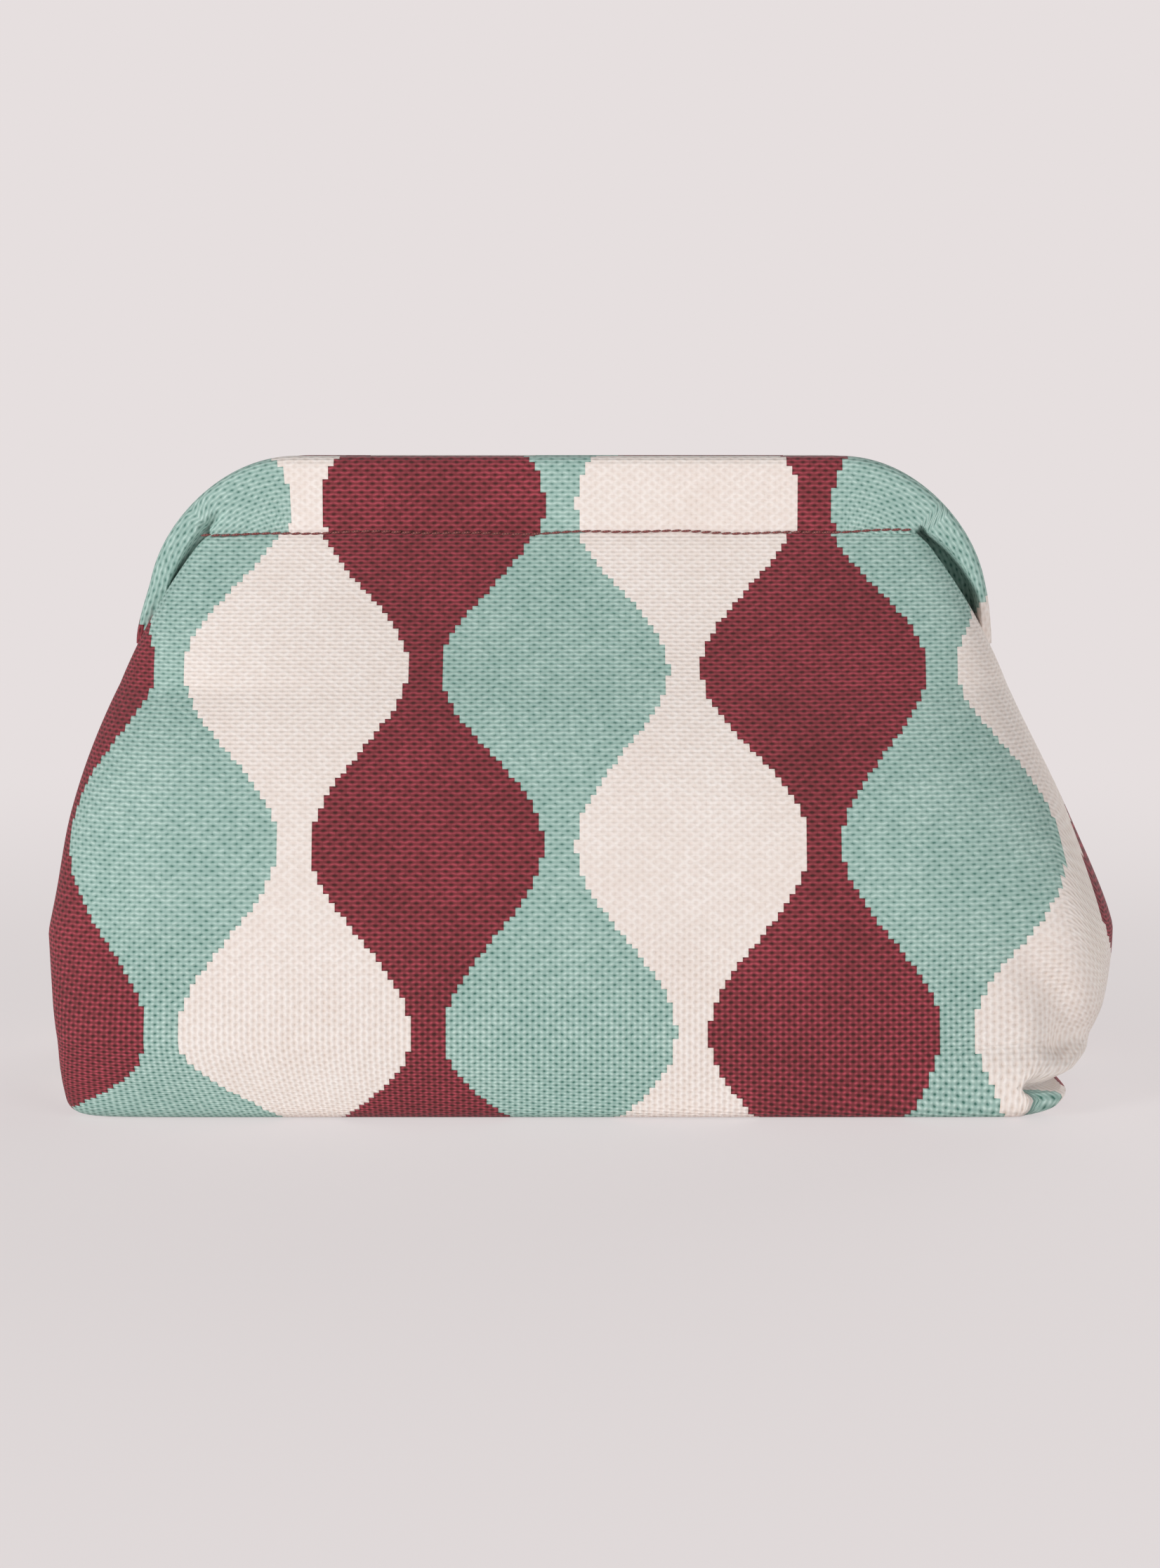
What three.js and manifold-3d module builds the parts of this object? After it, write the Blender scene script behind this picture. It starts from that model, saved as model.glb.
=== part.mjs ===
// Soft framed toiletry bag. A knitted, lined shell stands on a boarded base. Its mouth is held by two U-shaped
// flat steel bars that sit in sewn sleeves and are riveted together at both ends, so the mouth swings open.
// Millimetres, +Z up, front towards -Y, origin on the floor under the middle of the base.

import * as THREE from "three";
import { mergeVertices } from "three/addons/utils/BufferGeometryUtils.js";
import Module from "manifold-3d";

const wasm = await Module();
wasm.setup();

// Shell
const BAG_WIDTH = 275; // across the puffed sides
const BAG_DEPTH = 114; // front to back at the fullest level
const BASE_LENGTH = 250; // walls at the floor, left to right
const BASE_DEPTH = 114; // walls at the floor, front to back
const BULGE_HEIGHT = 32; // fullest level above the floor
const BASE_ROLL = 3; // radius where the walls roll into the base
const BASE_SQUARENESS = 9; // superellipse exponent of the plan at the floor
const MOUTH_SQUARENESS = 3; // superellipse exponent of the plan at the hinges
const SIDE_FULLNESS = 1.6; // exponent of the taper from bulge to rim, seen from the front
const FRONT_FULLNESS = 2.4; // exponent of the taper from bulge to rim, seen from the side
const BASE_FULLNESS = 1.5; // exponent of the taper from bulge to base
const RIM_DROP = 5; // the shell's rim below the hinge axis
const RIM_EDGE = 1.2; // thickness of the rim's thinned edge
const RIM_TAPER = 9; // height over which the rim thins
const LINING_DROP = 9; // the lining's edge below the hinge axis

// Materials' thicknesses and the clearance between neighbouring layers
const PANEL = 2.4; // knit bonded to its wadding
const KNIT = 1.6; // knit alone, as in the sleeves
const LINING = 0.8;
const WEB = 1.2; // gusset web
const BOARD = 1.6; // base board
const FIT = 0.3;

// Frame
const HINGE_HEIGHT = 110; // rivet axis above the floor
const FRAME_SPAN = 216; // between the middles of the front bar's legs
const FRAME_RISE = 51; // rivet axis to the middle of the top bar
const FRAME_CORNER = 37; // bend radius of the bars
const BAR_WIDTH = 6;
const BAR_THICKNESS = 1.6;
const EAR_RADIUS = 5;
const EAR_LINK = 9; // height over which a leg widens into its ear
const EAR_LAP = 0.5; // the strip runs this far into its ears
const RIVET_RADIUS = 1.6;
const RIVET_HEAD_RADIUS = 3.2;
const RIVET_HEAD = 1.2;
const RIVET_DOME = 0.7; // bevel round a rivet's head
const HINGE_ROOM = 2; // from a rivet's head to the shell
const WASHER = 0.6;
const WASHER_RADIUS = 4.2;

// Sleeves and the closure hidden in them
const MOUTH_GAP = 1.2; // between the closed sleeves
const CASING_DEPTH = 18; // middle of the bar to the sewn line
const CASING_ROUND = 2.6; // roll of the knit over the bar
const CASING_REVEAL = 2; // bare leg between an ear and its sleeve
const STITCH_WIDTH = 4.2; // thickness of the sleeve at the sewn line
const FRONT_LEAN = 0.8; // how far the outer face falls back between bar and sewn line
const MAGNET_RADIUS = 5;
const MAGNET = 1.5;

// Yokes: the upper part of the shell, which swings with the bars
const SEWN_INSET = 14; // from the middle of a leg in to the sewn line's end
const YOKE_SQUARENESS = 6; // superellipse exponent of the plan at the sewn line
const YOKE_FULLNESS = 1.3; // exponent of the taper from hinges to sewn line

// Gusset webs, folded in between the legs
const WEB_FOLD = 24; // depth of the fold, inwards
const WEB_HEIGHT = 18;

// Facets
const RING_SIDES = 40;
const WALL_LEVELS = 10;
const ROLL_LEVELS = 3;
const YOKE_LEVELS = 6;
const SWEEP_STEPS = 40;
const EYE_SIDES = 16;
const FOLD_SIDES = 3; // in the roll of the knit over a bar
const WELD = 1e-4; // vertices closer than this are one

const X = new THREE.Vector3(1, 0, 0);
const Y = new THREE.Vector3(0, 1, 0);
const Z = new THREE.Vector3(0, 0, 1);

const cloth = (color) => new THREE.MeshStandardMaterial({ color, roughness: 0.95, metalness: 0 });
const metal = (color, roughness) => new THREE.MeshStandardMaterial({ color, roughness, metalness: 1 });
const knitFront = cloth(0x7db5a8);
const knitBack = cloth(0x8e2f3f);
const knitSleeve = cloth(0xe9ddd0);
const liningCloth = cloth(0xd9cdbf);
const boardStock = cloth(0x8a8178);
const steel = metal(0xb9bbbe, 0.35);
const nylon = new THREE.MeshStandardMaterial({ color: 0xf0efe9, roughness: 0.6, metalness: 0 });
const magnetPlate = metal(0x8f9296, 0.3);

// Sizes that follow from the ones above
const sleeveInner = MOUTH_GAP / 2;
const barInner = sleeveInner + KNIT + FIT;
const sleeveOuter = barInner + BAR_WIDTH + FIT + KNIT;
const sleeveTop = BAR_THICKNESS / 2 + FIT + KNIT;
const stitchOuter = sleeveOuter - FRONT_LEAN;
const stitchInner = stitchOuter - STITCH_WIDTH;
const stitchRise = FRAME_RISE - CASING_DEPTH;
const casingTrim = EAR_LINK + CASING_REVEAL;
const earPitch = BAR_THICKNESS + WASHER + 2 * FIT;
const rivetReach = FRAME_SPAN / 2 + BAR_THICKNESS / 2 + FIT + RIVET_HEAD;
const shoulderReach = rivetReach + HINGE_ROOM + PANEL;
const shoulderRadius = Math.hypot(stitchOuter, stitchRise - FIT);
const rimHeight = HINGE_HEIGHT - RIM_DROP;
const boardFloor = PANEL + FIT;
const liningFloor = boardFloor + BOARD + FIT;
const rimHalfWidth = shoulderReach + RIM_EDGE + FIT;
const rimHalfDepth = shoulderRadius + RIM_EDGE + FIT;

// The two halves of the mouth. The back bar nests inside the front one at the hinges.
const FRONT = { name: "front", span: FRAME_SPAN, turn: 0, knit: knitFront };
const BACK = { name: "back", span: FRAME_SPAN - 2 * earPitch, turn: Math.PI, knit: knitBack };

// A closed solid from a geometry: vertices merged by place, collapsed triangles dropped.
function solidOf(geometry) {
  const bare = new THREE.BufferGeometry().setAttribute("position", geometry.getAttribute("position"));
  bare.setIndex(geometry.index);
  const merged = mergeVertices(bare, WELD);
  const index = merged.index.array;
  const triVerts = [];
  for (let i = 0; i < index.length; i += 3) {
    const [a, b, c] = index.slice(i, i + 3);
    if (a !== b && b !== c && c !== a) triVerts.push(a, b, c);
  }
  const vertProperties = merged.getAttribute("position").array;
  return new wasm.Manifold(new wasm.Mesh({ numProp: 3, vertProperties, triVerts: new Uint32Array(triVerts) }));
}

function geometryOf(solid) {
  const mesh = solid.getMesh();
  const geometry = new THREE.BufferGeometry();
  geometry.setAttribute("position", new THREE.BufferAttribute(new Float32Array(mesh.vertProperties), 3));
  geometry.setIndex(new THREE.BufferAttribute(new Uint32Array(mesh.triVerts), 1));
  geometry.computeVertexNormals();
  return geometry;
}

function node(name, shape, material) {
  const geometry = shape.isBufferGeometry ? shape : geometryOf(shape);
  const mesh = new THREE.Mesh(geometry, material.clone());
  mesh.name = name;
  return mesh;
}

// Half-width, half-depth and plan exponent of the shell's outer face at a height.
function planAt(height) {
  const taper = (fullness, bulge, rim) => {
    const climb = Math.max(0, (height - BULGE_HEIGHT) / (rimHeight - BULGE_HEIGHT));
    return bulge - (bulge - rim) * climb ** fullness;
  };
  const swell = (base, bulge) => {
    const below = Math.max(0, 1 - height / BULGE_HEIGHT);
    return (bulge - base) * below ** BASE_FULLNESS;
  };
  const lift = Math.max(0, 1 - height / BASE_ROLL);
  const roll = BASE_ROLL * (1 - Math.sqrt(1 - lift ** 2));
  return {
    halfWidth: taper(SIDE_FULLNESS, BAG_WIDTH / 2, rimHalfWidth) - swell(BASE_LENGTH / 2, BAG_WIDTH / 2) - roll,
    halfDepth: taper(FRONT_FULLNESS, BAG_DEPTH / 2, rimHalfDepth) - swell(BASE_DEPTH / 2, BAG_DEPTH / 2) - roll,
    exponent: THREE.MathUtils.lerp(BASE_SQUARENESS, MOUTH_SQUARENESS, height / HINGE_HEIGHT),
  };
}

// The same for a yoke, by its rise above the hinge axis.
function yokePlanAt(rise) {
  const climb = Math.max(0, rise / stitchRise);
  const taper = climb ** YOKE_FULLNESS;
  return {
    halfWidth: THREE.MathUtils.lerp(shoulderReach, FRAME_SPAN / 2 - SEWN_INSET, taper),
    halfDepth: THREE.MathUtils.lerp(shoulderRadius, stitchOuter, taper),
    exponent: THREE.MathUtils.lerp(MOUTH_SQUARENESS, YOKE_SQUARENESS, climb),
  };
}

// A ring round a plan, moved in from the outer face.
function planRing({ halfWidth, halfDepth, exponent }, inset, level) {
  const bulge = (value) => Math.sign(value) * Math.abs(value) ** (2 / exponent);
  return Array.from({ length: RING_SIDES }, (_, i) => {
    const turn = (2 * Math.PI * i) / RING_SIDES;
    const x = (halfWidth - inset) * bulge(Math.cos(turn));
    const y = (halfDepth - inset) * bulge(Math.sin(turn));
    return new THREE.Vector3(x, y, level);
  });
}

// A closed skin over rings stacked upwards, each counter-clockwise seen from above.
function loft(rings) {
  const sides = rings[0].length;
  const points = rings.flat();
  const index = [];
  for (let level = 0; level < rings.length - 1; level++) {
    for (let i = 0; i < sides; i++) {
      const a = level * sides + i;
      const b = level * sides + ((i + 1) % sides);
      index.push(a, b, b + sides, a, b + sides, a + sides);
    }
  }
  const cap = (start, upwards) => {
    const middle = new THREE.Vector3();
    for (let i = 0; i < sides; i++) middle.addScaledVector(points[start + i], 1 / sides);
    const hub = points.push(middle) - 1;
    for (let i = 0; i < sides; i++) {
      const a = start + i;
      const b = start + ((i + 1) % sides);
      index.push(...(upwards ? [a, b, hub] : [b, a, hub]));
    }
  };
  cap(0, false);
  cap((rings.length - 1) * sides, true);
  return new THREE.BufferGeometry().setFromPoints(points).setIndex(index);
}

// Heights of the rings that all layers of the shell share: the floors of the layers, close steps in the roll of
// the base, then even steps up to the rim.
function wallHeights() {
  const roll = Array.from({ length: ROLL_LEVELS }, (_, i) => BASE_ROLL * (i / ROLL_LEVELS) ** 2);
  const wall = Array.from({ length: WALL_LEVELS }, (_, i) =>
    THREE.MathUtils.lerp(BASE_ROLL, rimHeight, i / (WALL_LEVELS - 1)),
  );
  return [...roll, PANEL, liningFloor, liningFloor + LINING, ...wall].sort((a, b) => a - b);
}

// An open-topped layer of the shell, from one inset to a deeper one, thinned towards the rim if asked.
function bowl(inset, thickness, floor, edge = thickness) {
  const insetAt = (height) => {
    const share = THREE.MathUtils.clamp((rimHeight - height) / RIM_TAPER, 0, 1);
    return inset + THREE.MathUtils.lerp(edge, thickness, share);
  };
  const ringsAbove = (bottom, moveIn) =>
    wallHeights()
      .filter((height) => height >= bottom)
      .map((height) => planRing(planAt(height), moveIn(height), height));
  const skin = ringsAbove(floor, () => inset);
  const hollow = ringsAbove(floor + thickness, insetAt);
  hollow.push(planRing(planAt(rimHeight), insetAt(rimHeight), rimHeight + thickness));
  return solidOf(loft(skin)).subtract(solidOf(loft(hollow)));
}

// A block that holds everything in front of the side seams, or behind them, up to a height.
function halfSpace(side, top) {
  const size = 2 * (BAG_WIDTH + BAG_DEPTH + HINGE_HEIGHT);
  return solidOf(new THREE.BoxGeometry(size, size, size).translate(0, side * (size + FIT) / 2, top - size / 2));
}

// The line of a bar, from the left hinge over the mouth to the right one, relative to the rivet axis.
class FrameLine extends THREE.Curve {
  constructor(span, trim) {
    super();
    this.half = span / 2;
    this.trim = trim;
    this.leg = FRAME_RISE - FRAME_CORNER;
    this.bend = (Math.PI / 2) * FRAME_CORNER;
    this.top = span - 2 * FRAME_CORNER;
  }

  getPoint(t, target = new THREE.Vector3()) {
    const whole = 2 * (this.leg + this.bend) + this.top;
    const along = THREE.MathUtils.lerp(this.trim, whole - this.trim, t);
    const mirrored = along > whole / 2;
    const s = mirrored ? whole - along : along;
    let x = -this.half;
    let z = s;
    if (s > this.leg + this.bend) {
      x = -this.half + FRAME_CORNER + (s - this.leg - this.bend);
      z = FRAME_RISE;
    } else if (s > this.leg) {
      const turn = (s - this.leg) / FRAME_CORNER;
      x = -this.half + FRAME_CORNER * (1 - Math.cos(turn));
      z = this.leg + FRAME_CORNER * Math.sin(turn);
    }
    return target.set(mirrored ? -x : x, 0, z);
  }
}

// Sweeps a section along a bar's line. In the section, x points away from the other bar and y into the U.
function sweep(section, span, trim) {
  const extrudePath = new FrameLine(span, trim);
  return new THREE.ExtrudeGeometry(section, { steps: SWEEP_STEPS, curveSegments: FOLD_SIDES, extrudePath });
}

// The sleeve's section, grown outwards by a margin. The bar fills its head, and the sewn line closes its foot.
function sleeveSection(margin) {
  const inner = sleeveInner - margin;
  const outer = sleeveOuter + margin;
  const top = -sleeveTop - margin;
  const shape = new THREE.Shape();
  shape.moveTo(inner, top + CASING_ROUND);
  shape.quadraticCurveTo(inner, top, inner + CASING_ROUND, top);
  shape.lineTo(outer - CASING_ROUND, top);
  shape.quadraticCurveTo(outer, top, outer, top + CASING_ROUND);
  shape.lineTo(stitchOuter + margin, CASING_DEPTH + margin);
  shape.lineTo(stitchInner - margin, CASING_DEPTH + margin);
  shape.lineTo(inner, sleeveTop);
  shape.closePath();
  return shape;
}

function hollowSleeve() {
  const shape = sleeveSection(0);
  const lean = (stitchInner - sleeveInner) / (CASING_DEPTH - sleeveTop);
  const wall = KNIT * Math.hypot(1, lean);
  const foot = CASING_DEPTH - KNIT;
  const hole = new THREE.Path();
  hole.moveTo(barInner - FIT, -BAR_THICKNESS / 2 - FIT);
  hole.lineTo(sleeveOuter - KNIT, -BAR_THICKNESS / 2 - FIT);
  hole.lineTo(stitchOuter - KNIT, foot);
  hole.lineTo(sleeveInner + lean * (foot - sleeveTop) + wall, foot);
  hole.lineTo(barInner - FIT, sleeveTop);
  hole.closePath();
  shape.holes.push(hole);
  return shape;
}

// A plate in the Y-Z plane, drawn as (y, z), of a given thickness about x = 0.
function plate(shape, thickness, curveSegments) {
  const geometry = new THREE.ExtrudeGeometry(shape, { depth: thickness, bevelEnabled: false, curveSegments });
  return geometry.translate(0, 0, -thickness / 2).applyMatrix4(new THREE.Matrix4().makeBasis(Y, Z, X));
}

// An ear's outline, grown by a margin: a round end about the rivet, drawn tangent to the leg above it.
function earOutline(margin) {
  const radius = EAR_RADIUS + margin;
  const top = EAR_LINK + margin;
  const near = new THREE.Vector2(-barInner + margin, top);
  const far = new THREE.Vector2(-barInner - BAR_WIDTH - margin, top);
  const spread = (corner) => Math.acos(radius / corner.length());
  const outline = new THREE.Shape();
  outline.absarc(0, 0, radius, far.angle() + spread(far), near.angle() - spread(near) + 2 * Math.PI, false);
  outline.lineTo(near.x, near.y);
  outline.lineTo(far.x, far.y);
  outline.closePath();
  return outline;
}

function rivetEye() {
  const eye = new THREE.Path();
  eye.absarc(0, 0, RIVET_RADIUS + FIT, 0, Math.PI * 2, true);
  return eye;
}

// A copy of a plate's solid at each leg of a bar.
function onBothLegs(geometry, span) {
  const [left, right] = [-1, 1].map((side) => solidOf(geometry.clone().translate((side * span) / 2, 0, 0)));
  return left.add(right);
}

// The flat strip's section, grown by a margin.
function stripSection(margin) {
  const half = BAR_THICKNESS / 2 + margin;
  const section = new THREE.Shape();
  section.moveTo(barInner - margin, -half);
  section.lineTo(barInner + BAR_WIDTH + margin, -half);
  section.lineTo(barInner + BAR_WIDTH + margin, half);
  section.lineTo(barInner - margin, half);
  section.closePath();
  return section;
}

// A U-shaped bar with an eared end on each leg.
function bar(span) {
  const ear = earOutline(0);
  ear.holes.push(rivetEye());
  const strip = solidOf(sweep(stripSection(0), span, EAR_LINK - EAR_LAP));
  return strip.add(onBothLegs(plate(ear, BAR_THICKNESS, EYE_SIDES), span));
}

// The room that a bar and its sleeve take, with clearance all round, facing forwards or turned to face back.
function barRoom({ span, turn }, facing = turn) {
  const sleeve = solidOf(sweep(sleeveSection(FIT), span, casingTrim - FIT).rotateZ(facing));
  const strip = solidOf(sweep(stripSection(FIT), span, EAR_LINK - EAR_LAP - FIT).rotateZ(facing));
  const ear = plate(earOutline(FIT), BAR_THICKNESS + 2 * FIT, EYE_SIDES).rotateZ(facing);
  return sleeve.add(strip).add(onBothLegs(ear, span));
}

// The upper shell as a ring that stands on the rim, from one inset to a deeper one.
function yokeRing(inset, thickness) {
  const foot = -RIM_DROP - FIT;
  const head = stitchRise - FIT;
  const rises = Array.from({ length: YOKE_LEVELS }, (_, i) => (head * i) / (YOKE_LEVELS - 1));
  const skin = [foot, ...rises].map((rise) => planRing(yokePlanAt(rise), inset, rise));
  const hollow = rises.map((rise) => planRing(yokePlanAt(rise), inset + thickness, rise));
  const open = (rise, level) => planRing(yokePlanAt(rise), inset + thickness, level);
  const tool = [open(foot, foot - thickness), ...hollow, open(head, head + thickness)];
  return solidOf(loft(skin)).subtract(solidOf(loft(tool)));
}

// Where the front yoke may be: in front of the sleeves' meeting faces, and clear of the back yoke when both swing.
function swingSector(halfLength) {
  const far = 4 * shoulderRadius;
  const foot = -RIM_DROP - 2 * FIT;
  const sector = new THREE.Shape();
  sector.moveTo(-sleeveInner, 0);
  sector.lineTo(-sleeveInner, casingTrim);
  sector.lineTo(-stitchInner, casingTrim);
  sector.lineTo(-stitchInner, far);
  sector.lineTo(-far, far);
  sector.lineTo(-far, foot);
  sector.lineTo(2 * foot, foot);
  sector.closePath();
  return solidOf(plate(sector, 2 * halfLength, 1));
}

// One half of the mouth, facing forwards, about the rivet axis: bar, sleeve, yoke of the shell, lining, magnet.
function mouthHalf(side) {
  const { name, span, turn, knit } = side;
  const half = new THREE.Group();
  half.position.z = HINGE_HEIGHT;
  half.rotation.z = turn;
  const room = barRoom(side, 0);
  const yokeOf = (inset, thickness, reach) =>
    yokeRing(inset, thickness).intersect(swingSector(reach)).subtract(room);
  const disc = new THREE.CylinderGeometry(MAGNET_RADIUS, MAGNET_RADIUS, MAGNET, EYE_SIDES);
  const magnet = node(`${name}_magnet`, disc, magnetPlate);
  const magnetDrop = BAR_THICKNESS / 2 + FIT + MAGNET_RADIUS;
  const wallAt = sleeveOuter - FRONT_LEAN * ((magnetDrop + MAGNET_RADIUS) / CASING_DEPTH) - KNIT;
  magnet.position.set(0, -(wallAt - FIT - MAGNET / 2), FRAME_RISE - magnetDrop - FIT);
  half.add(
    node(`${name}_bar`, bar(span), steel),
    node(`${name}_casing`, sweep(hollowSleeve(), span, casingTrim), knitSleeve),
    node(`${name}_yoke`, yokeOf(0, PANEL, BAG_WIDTH), knit),
    node(`${name}_yoke_lining`, yokeOf(PANEL + FIT, LINING, span / 2 - EAR_RADIUS), liningCloth),
    magnet,
  );
  return half;
}

// A rivet through both ears, with its two heads, lying along X about the middle of its washer.
function rivet() {
  const end = WASHER / 2 + BAR_THICKNESS + 2 * FIT;
  const rim = RIVET_HEAD - RIVET_DOME;
  const profile = [
    [0, -end - RIVET_HEAD],
    [RIVET_HEAD_RADIUS - RIVET_DOME, -end - RIVET_HEAD],
    [RIVET_HEAD_RADIUS, -end - rim],
    [RIVET_HEAD_RADIUS, -end],
    [RIVET_RADIUS, -end],
    [RIVET_RADIUS, end],
    [RIVET_HEAD_RADIUS, end],
    [RIVET_HEAD_RADIUS, end + rim],
    [RIVET_HEAD_RADIUS - RIVET_DOME, end + RIVET_HEAD],
    [0, end + RIVET_HEAD],
  ].map(([radius, along]) => new THREE.Vector2(radius, along));
  return solidOf(new THREE.LatheGeometry(profile, EYE_SIDES).rotateZ(-Math.PI / 2));
}

function washer() {
  const shape = new THREE.Shape();
  shape.absarc(0, 0, WASHER_RADIUS, 0, Math.PI * 2, false);
  shape.holes.push(rivetEye());
  return plate(shape, WASHER, EYE_SIDES);
}

// A web folded inwards between the legs of the two bars, cut to follow their sleeves.
function gussetWeb(side) {
  const outerEdge = FRAME_SPAN / 2 - CASING_DEPTH / 2;
  const fold = FRAME_SPAN / 2 - CASING_DEPTH - WEB_FOLD;
  const reach = stitchOuter;
  const crease = fold + 2 * WEB;
  const plan = new THREE.Shape();
  plan.moveTo(fold, 0);
  plan.lineTo(outerEdge, -reach);
  plan.lineTo(outerEdge, -reach + WEB);
  plan.lineTo(crease, 0);
  plan.lineTo(outerEdge, reach - WEB);
  plan.lineTo(outerEdge, reach);
  plan.closePath();
  const fan = new THREE.ExtrudeGeometry(plan, { depth: WEB_HEIGHT, bevelEnabled: false });
  if (side < 0) fan.rotateZ(Math.PI);
  const web = solidOf(fan.translate(0, 0, EAR_RADIUS));
  return web.subtract(barRoom(FRONT)).subtract(barRoom(BACK));
}

// The hinges' pieces and the webs, about the rivet axis.
function hinges() {
  const group = new THREE.Group();
  group.position.z = HINGE_HEIGHT;
  for (const [name, side] of [
    ["left", -1],
    ["right", 1],
  ]) {
    const between = side * (FRAME_SPAN / 2 - earPitch / 2);
    const pin = node(`${name}_rivet`, rivet(), steel);
    const disc = node(`${name}_washer`, washer(), nylon);
    pin.position.x = between;
    disc.position.x = between;
    group.add(pin, disc, node(`${name}_gusset`, gussetWeb(side), liningCloth));
  }
  return group;
}

// The shell below the hinges: outer and lining bowls, each halved at the side seams, and the board between them.
function shell() {
  const group = new THREE.Group();
  const outer = bowl(0, PANEL, 0, RIM_EDGE);
  const inner = bowl(PANEL + FIT, LINING, liningFloor);
  for (const [name, side, material] of [
    ["front", -1, knitFront],
    ["back", 1, knitBack],
  ]) {
    group.add(
      node(`${name}_panel`, outer.intersect(halfSpace(side, HINGE_HEIGHT)), material),
      node(`${name}_lining`, inner.intersect(halfSpace(side, HINGE_HEIGHT - LINING_DROP)), liningCloth),
    );
  }
  const boardEdge = (level) => planRing(planAt(boardFloor), PANEL + FIT, level);
  group.add(node("base_board", loft([boardEdge(boardFloor), boardEdge(boardFloor + BOARD)]), boardStock));
  return group;
}

const bag = new THREE.Group();
bag.add(shell(), hinges(), mouthHalf(FRONT), mouthHalf(BACK));

export default bag;
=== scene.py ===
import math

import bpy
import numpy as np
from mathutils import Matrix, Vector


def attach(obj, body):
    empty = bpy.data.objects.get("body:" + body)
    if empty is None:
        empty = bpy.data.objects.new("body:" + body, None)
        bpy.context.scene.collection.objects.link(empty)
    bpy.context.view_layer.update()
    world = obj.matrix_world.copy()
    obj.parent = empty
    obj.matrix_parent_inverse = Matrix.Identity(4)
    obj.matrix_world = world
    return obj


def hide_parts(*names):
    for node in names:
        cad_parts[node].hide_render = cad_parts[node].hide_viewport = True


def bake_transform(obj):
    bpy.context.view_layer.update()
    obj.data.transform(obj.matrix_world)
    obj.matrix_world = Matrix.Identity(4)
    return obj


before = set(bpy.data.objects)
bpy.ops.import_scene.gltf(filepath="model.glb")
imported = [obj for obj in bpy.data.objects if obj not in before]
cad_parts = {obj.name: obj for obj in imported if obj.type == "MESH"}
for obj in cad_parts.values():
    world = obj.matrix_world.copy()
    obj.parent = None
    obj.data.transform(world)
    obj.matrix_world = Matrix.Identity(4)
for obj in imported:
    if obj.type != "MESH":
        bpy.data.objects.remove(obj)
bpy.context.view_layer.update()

# Looks of a soft framed toiletry bag: a knitted shell in undulating stripes, sewn sleeves over a hinged
# frame, a cotton lining, folded webs, and finishes for the hardware. Lengths below are millimetres unless a
# comment says metres; meshes are made in metres.

MM = 0.001

# Shell, near the solid model's, with the foot and the sides of the photographed bag
BAG_WIDTH = 271
BAG_DEPTH = 114
BASE_LENGTH = 251
BASE_DEPTH = 120
SIDE_BULGE_HEIGHT = 44
FRONT_BULGE_HEIGHT = 32
SIDE_FULLNESS = 1.42
FRONT_FULLNESS = 2.4
BASE_FULLNESS = 1.1
HINGE_HEIGHT = 110
RIM_HEIGHT = 105
RIM_HALF_WIDTH = 116.2
RIM_HALF_DEPTH = 35.6
BASE_ROLL = 3
BASE_SQUARENESS = 20
BASE_CORNER_HEIGHT = 18
LEFT_SQUARENESS = 9.5
RIGHT_SQUARENESS = 5.5
RIM_SQUARENESS = 4
SEWN_SQUARENESS = 9
SEWN_HEIGHT = 144
SEWN_HALF_LENGTH = 93
SEWN_DEPTH = 11
SEWN_SIDE_SLOPE = 1.7  # slopes at the sewn line, as multiples of those at the rim
SEWN_FRONT_SLOPE = 0.8
TUCK = 2.0  # the shell's edge inside its sleeve
TUCK_DEPTH = 2.2
TUCK_SIDEWAYS = 0.1  # the edge shrinks sideways by this share of what it shrinks in depth

# Frame, as in the solid model, and the sleeves over it
FRAME_HALF_SPAN = {"front": 108.0, "back": 105.2}
FRAME_TOP = 161
FRAME_CORNER = 37
LEG_FOOT = 115
SLEEVE_INNER = 0.6
SLEEVE_OUTER = 10.4
SLEEVE_TOP = 2.7
SLEEVE_SIDE = {"left": 2.1, "right": 1.6}
SLEEVE_CUT = 0.9  # the sleeve is tightest over the bar's corners
SLEEVE_ROUND = 4.4
SLEEVE_LAP = 0.6
SLEEVE_THICKNESS = 0.6
LEG_FLARE = {"left": 3.2, "right": 1.3}
FLARE_TOP = 132  # the legs flare below this height
FLARE_EDGE = 4  # and the flare starts this far in from the line of the bar
LEG_EASE = 7  # the sleeve's cloth is stretched round the corners
LEG_EASE_PART = (80, 130)  # between these places along the bar
FOLD_RISE_POWER = 0.8  # the fold over the bar is squarer than a half circle
FOLD_REACH_POWER = 0.6
INNER_START = 0.35  # share of the way down the inside at which the cloth leaves the bar

# Pleats beside the sleeves' corners
RIDGE_ROUND = 2.6
PLEAT_LAP = 2.5
PLEAT_LEAST = 4.0
PLEAT_INNER = 2.6
SEWN_INNER = 7.0
PLEAT_RECESS = {"left": 3.4, "right": 7.4}
PLEAT_DROP = 1.4
PLEAT_ALONG = (103, 127)  # between these places along the bar the band in front of the pleat narrows
PLEAT_BAND = {"left": (4.6, 2.6), "right": (6.6, 0.4)}
PLEAT_TIP = {"left": (93, 103), "right": (100, 103)}  # the pleat runs out in the band between these places
PLEAT_TIP_WIDTH = 1.1

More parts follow.
